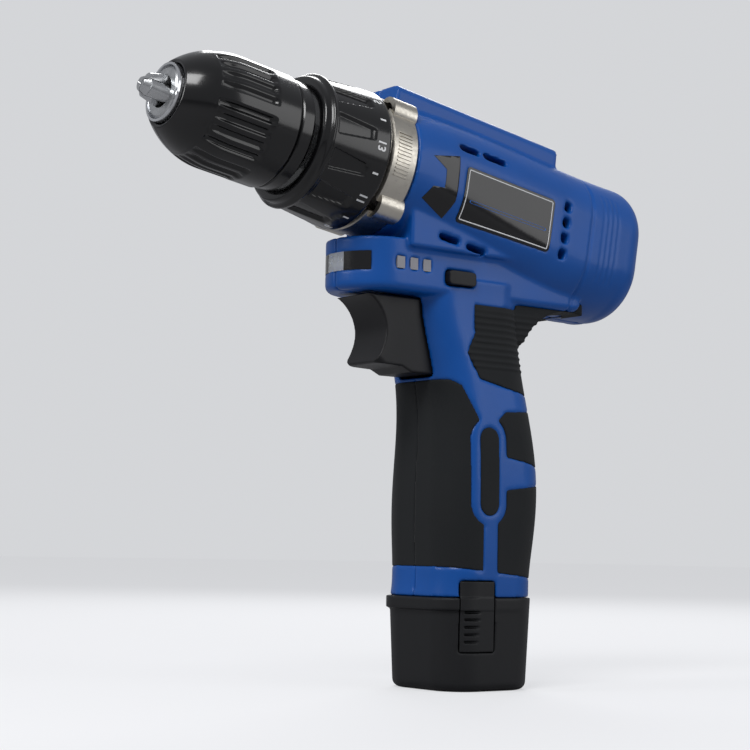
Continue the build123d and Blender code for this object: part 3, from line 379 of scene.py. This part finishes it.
def nearest_turn(angle, count, start=0.0):
    """Signed angle in degrees from the nearest of some even spokes."""
    pitch = 360.0 / count
    return (math.degrees(angle) - start + pitch / 2) % pitch - pitch / 2


def rise(value, start, end):
    """Smooth rise from 0 to 1 for one number."""
    share = min(1.0, max(0.0, (value - start) / (end - start)))
    return share * share * (3 - 2 * share)


def chuck_sleeve():
    """The chuck's grip: six wide sunk panels, each with three long ridges, under a domed nose."""
    rear, front = span("chuck_sleeve")
    radius = reach("chuck_sleeve")
    straight, dome = rear + 0.9, front - 21.5
    rings = 60
    outer = [(rear + 0.02, radius - 0.7), (rear + 0.35, radius - 0.2), (straight, radius)]
    outer += [(straight + n * (dome - straight) / rings, radius) for n in range(1, rings)]
    for n in range(rings + 1):
        share = n / rings
        fall = 0.40 * share ** 2.2 + 0.02 * share ** 8
        outer.append((dome + (front - dome) * share, radius * (1 - fall)))
    lip = outer[-1][1]
    inner_front = reach("nose_ring") + 0.12
    wall = radius - 2.5
    inner = [(front - 0.1, lip - 0.6), (front - 0.4, inner_front + 0.3), (front - 1.2, inner_front)]
    inner += [(front - 4.0, inner_front), (front - 9.0, wall - 4.2), (rear + 2.6, wall), (rear + 0.02, wall)]
    panel_rear, panel_front = rear + 10.5, front - 8.0
    panels, ridge_pitch = 6, 14.0

    def shape(along, base, angle):
        if base < wall + 0.5 and along < front - 9:
            return base
        if along > front - 5 and base < lip:
            return base
        across = nearest_turn(angle, panels, 90.0)
        started = rise(along, panel_rear - 1.4, panel_rear + 1.4)
        ended = rise(along, panel_front - 7, panel_front)
        panel = 1 - rise(abs(across), 22.0, 24.5)
        ridge = math.cos(math.radians((across + ridge_pitch / 2) % ridge_pitch * 360 / ridge_pitch))
        ridges = max(0.0, min(1.0, 0.5 - 0.95 * ridge))
        return base - started * (1 - ended) * panel * (1.55 - 1.05 * ridges)

    section = outer + inner
    made = turned("chuck_sleeve_skin", section, full_turn(360), shape, "sleeve", gloss_black)
    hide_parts("chuck_sleeve")


def ring_cone():
    """Where the torque ring's cone starts and ends, and its radius at a place along the barrel."""
    rear, front = span("torque_ring")
    wide = reach("torque_ring")
    start, end, fall = rear + 1.6, front - 4.4, 1.8

    def radius_at(along):
        return wide - (along - start) / (end - start) * fall

    return start, end, radius_at


def torque_ring():
    """The torque ring: a cone with sunk wedge grips, a rolled front edge and a plain number band."""
    rear, front = span("torque_ring")
    wide = reach("torque_ring")
    narrow = wide - 3.1
    start, edge, radius_at = ring_cone()
    heel = [(rear, wide - 1.0), (rear + 0.25, wide - 0.35), (rear + 0.8, wide - 0.05), (start, wide)]
    rings = 70
    places = [start + n * (edge - start) / rings for n in range(1, rings + 1)]
    cone = [(place, radius_at(place)) for place in places]
    lip = [
        (edge + 0.2, narrow + 1.6),
        (edge + 0.6, narrow + 1.9),
        (edge + 1.2, narrow + 1.85),
        (edge + 1.6, narrow + 1.4),
        (edge + 1.9, narrow + 0.7),
        (edge + 2.6, narrow + 0.45),
        (front - 0.7, narrow + 0.25),
        (front - 0.2, narrow - 0.15),
        (front, narrow - 0.7),
    ]
    inside = [(front, narrow - 5.6), (front - 2.6, narrow - 5.8), (front - 2.8, narrow - 3.2)]
    inside += [(rear + 12, narrow - 3.0), (rear + 8, wide - 3.2), (rear, wide - 3.2)]
    grip_start, grip_end = rear + 7.2, edge - 0.6

    def shape(along, base, angle):
        if base < narrow - 0.8 or not grip_start - 1 < along < grip_end:
            return base
        across = abs(nearest_turn(angle, 12, 7.5))
        share = (along - grip_start) / (grip_end - grip_start)
        half = 3.6 + 4.6 * max(0.0, share)
        sunk = 1 - rise(across, half, half + 1.6)
        ends = rise(along, grip_start - 0.8, grip_start + 1.4) * (1 - rise(along, grip_end - 1.0, grip_end))
        return base - 1.15 * sunk * ends

    section, turns = heel + cone + lip + inside, full_turn(480)
    made = turned("torque_ring_skin", section, turns, shape, "torque_ring", gloss_black)
    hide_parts("torque_ring")


def digits(text):
    """A number's letters, raised a little: corners in millimetres, and faces."""
    curve = bpy.data.curves.new(f"number_{text}", "FONT")
    curve.body = text
    curve.size = 4.3 * MM
    curve.extrude = INK_HEIGHT * MM
    curve.offset = 0.10 * MM
    curve.resolution_u = 3
    curve.align_x = "CENTER"
    curve.align_y = "CENTER"
    mesh = filled(f"number_{text}", curve)
    corners = [tuple(vertex.co / MM) for vertex in mesh.vertices]
    faces = [tuple(polygon.vertices) for polygon in mesh.polygons]
    bpy.data.meshes.remove(mesh)
    return corners, faces


def tick():
    """A short mark between two numbers: corners in millimetres, and faces."""
    half_width, half_length = 0.35, 1.1
    square = ((-1, -1), (1, -1), (1, 1), (-1, 1))
    corners = [(x * half_width, y * half_length, z) for z in (-INK_HEIGHT, INK_HEIGHT) for x, y in square]
    return corners, [(0, 3, 2, 1), (4, 5, 6, 7), (0, 1, 5, 4), (1, 2, 6, 5), (2, 3, 7, 6), (3, 0, 4, 7)]


def ring_numbers():
    """Plain numbers and ticks round the torque ring, as raised ink."""
    rear = span("torque_ring")[0]
    radius_at = ring_cone()[2]
    points, faces = [], []
    places = 16
    for place in range(places):
        angle = math.radians(90 + 360 * place / places)
        corners, tiles = tick() if place % 2 else digits(str(place + 1))
        start = len(points)
        # the digits' feet point to the rear of the tool
        for x, y, z in corners:
            along = rear + 4.0 + y
            radius = radius_at(along) + z
            turn = angle - x / radius
            points.append(barrel(along, radius * math.cos(turn), radius * math.sin(turn)))
        faces += [tuple(index + start for index in tile) for tile in tiles]
    new_piece("ring_numbers", points, faces, "torque_ring", white_ink, smooth=False)


# ------------------------------------------------------------------ moulded skins
def surface_tree(*nodes):
    """A search tree over some CAD nodes, for pieces that lie on them."""
    points, faces = [], []
    for node in nodes:
        mesh = frame["nodes"][node].data
        start = len(points)
        points += [vertex.co.copy() for vertex in mesh.vertices]
        faces += [tuple(index + start for index in polygon.vertices) for polygon in mesh.polygons]
    return BVHTree.FromPolygons(points, faces)


def housing_half(side):
    """One half of the housing: melted edges, a seam for its rear cap, shallow ribs behind the vents."""
    piece = softened(f"housing_{side}", f"housing_{side}_skin", 0.74, 3, blue_plastic)
    points = coordinates(piece)
    local = barrel_frame(points)
    along, up = local[:, 0], local[:, 2]
    outer = np.abs(local[:, 1]) > 8
    low = points[:, 2] / MM < 150
    cap_seam, rib_pitch = -98.0, 2.6
    depth = 0.55 * groove(along - cap_seam, 1.6) * (~low | (along < -60))
    rib_band = step(along, -114.0, -111.0) * (1 - step(along, -103.5, -101.5)) * (np.abs(up + 2) < 17)
    depth += 0.22 * rib_band * np.clip(np.cos(2 * np.pi * along / rib_pitch), 0, 1)
    radius = np.hypot(local[:, 1], up)
    skin = (radius > 21.0) & outer
    moved = points - normals(piece) * (depth * skin * MM)[:, None]
    set_coordinates(piece, moved)


def grip(side):
    """One half of the rubber overmould, with ribs across the panel behind the trigger."""
    piece = softened(f"handle_grip_{side}", f"handle_grip_{side}_skin", 0.42, 3, grip_rubber)
    points = coordinates(piece)
    outward = normals(piece)
    height = points[:, 2] / MM
    away = points[:, :2] / MM
    lean = outward[:, 0] * away[:, 0] + outward[:, 1] * away[:, 1]
    facing = lean > 0.35 * np.hypot(away[:, 0], away[:, 1])
    upper = step(height, 112.5, 115.0) * (1 - step(height, 134.5, 136.5))
    rib_pitch = 2.3
    ribs = np.clip(np.cos(2 * np.pi * height / rib_pitch), 0, 1) ** 0.7
    rise_by = 0.34 * upper * ribs * facing
    set_coordinates(piece, points + outward * (rise_by * MM)[:, None])


def on_flank(tree, along, up, direction, level):
    """The point some millimetres out from a flank, at a place along and up."""
    hit = tree.ray_cast(barrel(along, 60.0 * direction, up), Vector((0, -direction, 0)))
    spot = hit[0] if hit[0] is not None else barrel(along, 22.0 * direction, up)
    return spot + Vector((0, direction * level * MM, 0))


def flat_sheet(name, outline):
    """A filled flat mesh inside (along, up) corners."""
    curve = bpy.data.curves.new(name, "CURVE")
    curve.dimensions = "2D"
    curve.fill_mode = "BOTH"
    line = curve.splines.new("POLY")
    line.points.add(len(outline) - 1)
    for point, corner in zip(line.points, outline):
        point.co = (corner[0], corner[1], 0, 1)
    line.use_cyclic_u = True
    return filled(name, curve)


def cut_grid(work, outline, spacing):
    """Cut a flat mesh into small tiles, so that it can follow a curved flank."""
    for axis in (0, 1):
        low = min(corner[axis] for corner in outline)
        high = max(corner[axis] for corner in outline)
        count = int((high - low) / spacing)
        for n in range(1, count + 1):
            place, normal = [0, 0, 0], [0, 0, 0]
            place[axis] = low + n * (high - low) / (count + 1)
            normal[axis] = 1
            geometry = work.verts[:] + work.edges[:] + work.faces[:]
            bmesh.ops.bisect_plane(work, geom=geometry, plane_co=place, plane_no=normal)


def plate_on(name, outline, tree, direction, body, finish):
    """A thin plate that follows the housing: outline is (along, up) corners, laid on from one side."""
    lift, thickness, spacing = 0.12, 0.7, 1.4
    sheet = flat_sheet(name + "_outline", outline)
    work = bmesh.new()
    work.from_mesh(sheet)
    cut_grid(work, outline, spacing)
    flat = [(vertex.co.x, vertex.co.y) for vertex in work.verts]
    index = {vertex: n for n, vertex in enumerate(work.verts)}
    tiles = [tuple(index[vertex] for vertex in face.verts) for face in work.faces]
    rim = [edge for edge in work.edges if len(edge.link_faces) == 1]
    rim = [(index[edge.verts[0]], index[edge.verts[1]]) for edge in rim]
    work.free()
    bpy.data.meshes.remove(sheet)
    top = [on_flank(tree, along, up, direction, lift) for along, up in flat]
    bottom = [on_flank(tree, along, up, direction, lift - thickness) for along, up in flat]
    count = len(flat)
    faces = tiles + [tuple(n + count for n in reversed(tile)) for tile in tiles]
    faces += [(a, b, b + count, a + count) for a, b in rim]
    piece = new_piece(name, top + bottom, faces, body, finish)
    work = bmesh.new()
    work.from_mesh(piece.data)
    bmesh.ops.recalc_face_normals(work, faces=work.faces[:])
    work.to_mesh(piece.data)
    work.free()
    edge = piece.modifiers.new("edge", "BEVEL")
    edge.width = 0.18 * MM
    edge.segments = 2
    edge.limit_method = "ANGLE"
    edge.angle_limit = math.radians(50)
    evaluated(piece)


def band_outline(centre, size, corner, inset, width):
    """Outer and inner corners of a rounded frame on a flank, as (along, up)."""
    corner_steps = 4
    rings = []
    for shrink in (inset, inset + width):
        half_length, half_height = size[0] / 2 - shrink, size[1] / 2 - shrink
        radius = max(0.3, corner - shrink)
        ring = []
        for quarter in range(4):
            middle = math.radians(45 + 90 * quarter)
            hub = (
                centre[0] + math.copysign(half_length - radius, math.cos(middle)),
                centre[1] + math.copysign(half_height - radius, math.sin(middle)),
            )
            for part in range(corner_steps + 1):
                angle = math.radians(90 * (quarter + part / corner_steps))
                ring.append((hub[0] + radius * math.cos(angle), hub[1] + radius * math.sin(angle)))
        rings.append(ring)
    return rings


def laid_ribbon(name, outer, inner, tree, direction, slot, finish):
    """A thin closed ribbon between two rings of (along, up) points, laid on the housing's flank."""
    lift, thickness, spacing = 0.06, 0.3, 1.5
    rings = []
    for level in (lift, lift - thickness):
        for ring in (outer, inner):
            spots = []
            for n, corner in enumerate(ring):
                following = ring[(n + 1) % len(ring)]
                parts = max(1, round(math.dist(corner, following) / spacing))
                for part in range(parts):
                    along = corner[0] + (following[0] - corner[0]) * part / parts
                    up = corner[1] + (following[1] - corner[1]) * part / parts
                    spots.append(on_flank(tree, along, up, direction, level))
            rings.append(spots)
    count = len(rings[0])
    points = [spot for ring in rings for spot in ring]
    faces = []
    for a, b in ((0, 1), (1, 3), (3, 2), (2, 0)):
        for n in range(count):
            m = (n + 1) % count
            faces.append((a * count + n, a * count + m, b * count + m, b * count + n))
    new_piece(name, points, faces, "housing", finish)


def collar_ribs(side, direction):
    """Fine ribs along the bright collar's flank, between its lugs."""
    points, faces = [], []
    rear, front, inner, outer = -9.2, -3.0, 24.4, 25.15
    ribs_each_way, pitch, end_slope = 6, 3.0, 0.3
    for number in range(-ribs_each_way, ribs_each_way + 1):
        start = len(points)
        for radius, half in ((inner, 0.9), (outer, 0.5)):
            for along in (rear, front):
                for edge in (-half, half):
                    angle = math.radians(pitch * number + edge)
                    shift = end_slope * (radius == outer) * (1 if along == rear else -1)
                    out, up = radius * math.cos(angle), radius * math.sin(angle)
                    points.append(barrel(along + shift, direction * out, up))
        a, b, c, d, e, f, g, h = range(start, start + 8)
        faces += [(a, b, d, c), (e, g, h, f), (a, e, f, b), (c, d, h, g), (a, c, g, e), (b, f, h, d)]
    name = f"collar_ribs_{side}"
    new_piece(name, points, faces, "housing", collar_metal, smooth=False)


# ------------------------------------------------------------------ stage, light and camera
def pale_floor():
    """A wide plain floor under the drill."""
    glow_strength, half_size, floor_z = 0.54, 6.0, cad_box[0][2]
    finish, nodes, links, bsdf = shader("floor_paper", (0.36, 0.36, 0.37), 0.9)
    bsdf.inputs["Specular IOR Level"].default_value = 0.0
    # a glow that only the camera sees lifts the far floor to the background's tone
    seen = nodes.new("ShaderNodeLightPath")
    glow = nodes.new("ShaderNodeMath")
    glow.operation = "MULTIPLY"
    glow.inputs[1].default_value = glow_strength
    links.new(seen.outputs["Is Camera Ray"], glow.inputs[0])
    links.new(glow.outputs[0], bsdf.inputs["Emission Strength"])
    bsdf.inputs["Emission Color"].default_value = (0.97, 0.98, 1.0, 1)
    mesh = bpy.data.meshes.new("floor")
    square = ((-1, -1), (1, -1), (1, 1), (-1, 1))
    mesh.from_pydata([(x * half_size, y * half_size, floor_z) for x, y in square], [], [(0, 1, 2, 3)])
    mesh.materials.append(finish)
    floor = bpy.data.objects.new("floor", mesh)
    bpy.context.scene.collection.objects.link(floor)


def surroundings():
    """Soft light from all round, and the one pale tone that the camera sees behind the drill."""
    world = bpy.data.worlds.new("studio")
    world.use_nodes = True
    sky_nodes, sky_links = world.node_tree.nodes, world.node_tree.links
    lighting = sky_nodes["Background"]
    lighting.inputs["Color"].default_value = (0.93, 0.95, 1.0, 1)
    lighting.inputs["Strength"].default_value = 0.36
    behind = sky_nodes.new("ShaderNodeBackground")
    behind.inputs["Color"].default_value = (0.66, 0.67, 0.69, 1)
    looked_at = sky_nodes.new("ShaderNodeLightPath")
    blend = sky_nodes.new("ShaderNodeMixShader")
    sky_links.new(looked_at.outputs["Is Camera Ray"], blend.inputs[0])
    sky_links.new(lighting.outputs[0], blend.inputs[1])
    sky_links.new(behind.outputs[0], blend.inputs[2])
    sky_links.new(blend.outputs[0], sky_nodes["World Output"].inputs["Surface"])
    bpy.context.scene.world = world


def lamps():
    """Four soft lamps: name, place from the drill's middle, size and power."""
    target = (Vector(cad_box[0]) + Vector(cad_box[1])) / 2
    settings = (
        ("key", (0.70, 0.45, 0.85), 0.45, 6.5),
        ("fill", (-0.55, 0.90, 0.35), 0.70, 2.6),
        ("rim", (-0.60, -0.70, 0.75), 0.50, 5.0),
        ("front", (1.00, -0.25, 0.45), 0.30, 2.2),
    )
    for name, place, size, power in settings:
        data = bpy.data.lights.new(name, "AREA")
        data.size = size
        data.energy = power
        lamp = bpy.data.objects.new(name, data)
        lamp.location = target + Vector(place)
        lamp.rotation_mode = "QUATERNION"
        lamp.rotation_quaternion = (target - lamp.location).to_track_quat("-Z", "Y")
        bpy.context.scene.collection.objects.link(lamp)


def photograph_camera():
    """The camera at the photograph's viewing angle, a little below the barrel."""
    data = bpy.data.cameras.new("camera")
    data.sensor_width = 36.0
    data.lens = 86.0
    camera = bpy.data.objects.new("camera", data)
    bpy.context.scene.collection.objects.link(camera)
    back = -Vector((-0.6018, -0.7927, 0.0973)).normalized()
    down = Vector((-0.0729, -0.0668, -0.9951))
    right = (-back).cross(-down).normalized()
    true_up = back.cross(right).normalized()
    turned_frame = Matrix((right, true_up, back)).transposed()
    camera.matrix_world = Matrix.Translation((0.423, 0.504, 0.049)) @ turned_frame.to_4x4()
    data.clip_start = 0.01
    data.clip_end = 50
    bpy.context.scene.camera = camera
    bpy.context.scene.view_settings.view_transform = "Standard"


# ------------------------------------------------------------------ assembly
pale_floor()
surroundings()
lamps()
photograph_camera()
chuck_sleeve()
torque_ring()
ring_numbers()
flanks = surface_tree("housing_left", "housing_right", "label_plate_left", "label_plate_right")
for side, _ in FLANKS:
    housing_half(side)
    grip(side)
inlay = (
    (-19, 4), (-31, 7.5), (-32, -9), (-29.5, -15.5),
    (-18, -11.5), (-21, -6.5), (-26, -5.8), (-25.4, 0.8),
)
for side, direction in FLANKS:
    plate_on(f"inlay_{side}", inlay, flanks, direction, "housing", label_gloss)
for side, direction in FLANKS:
    collar_ribs(side, direction)
softened("battery_cup", "battery_cup_skin", 0.48, 3, cup_plastic)
softened("trigger", "trigger_skin", 0.36, 3, black_plastic)
softened("direction_selector", "direction_selector_skin", 0.25, 3, black_plastic)
for side, _ in FLANKS:
    softened(f"latch_{side}", f"latch_{side}_skin", 0.25, 2, cup_plastic)

label_frame = band_outline((-56.5, -5.0), (43.0, 20.0), 1.5, 0.9, 0.35)
label_line = band_outline((-56.5, -7.2), (37.0, 0.9), 0.4, 0.0, 0.4)
for side, direction in FLANKS:
    laid_ribbon(f"label_frame_{side}", *label_frame, flanks, direction, "collar_metal", white_ink)
    laid_ribbon(f"label_line_{side}", *label_line, flanks, direction, "housing_blue", blue_ink)
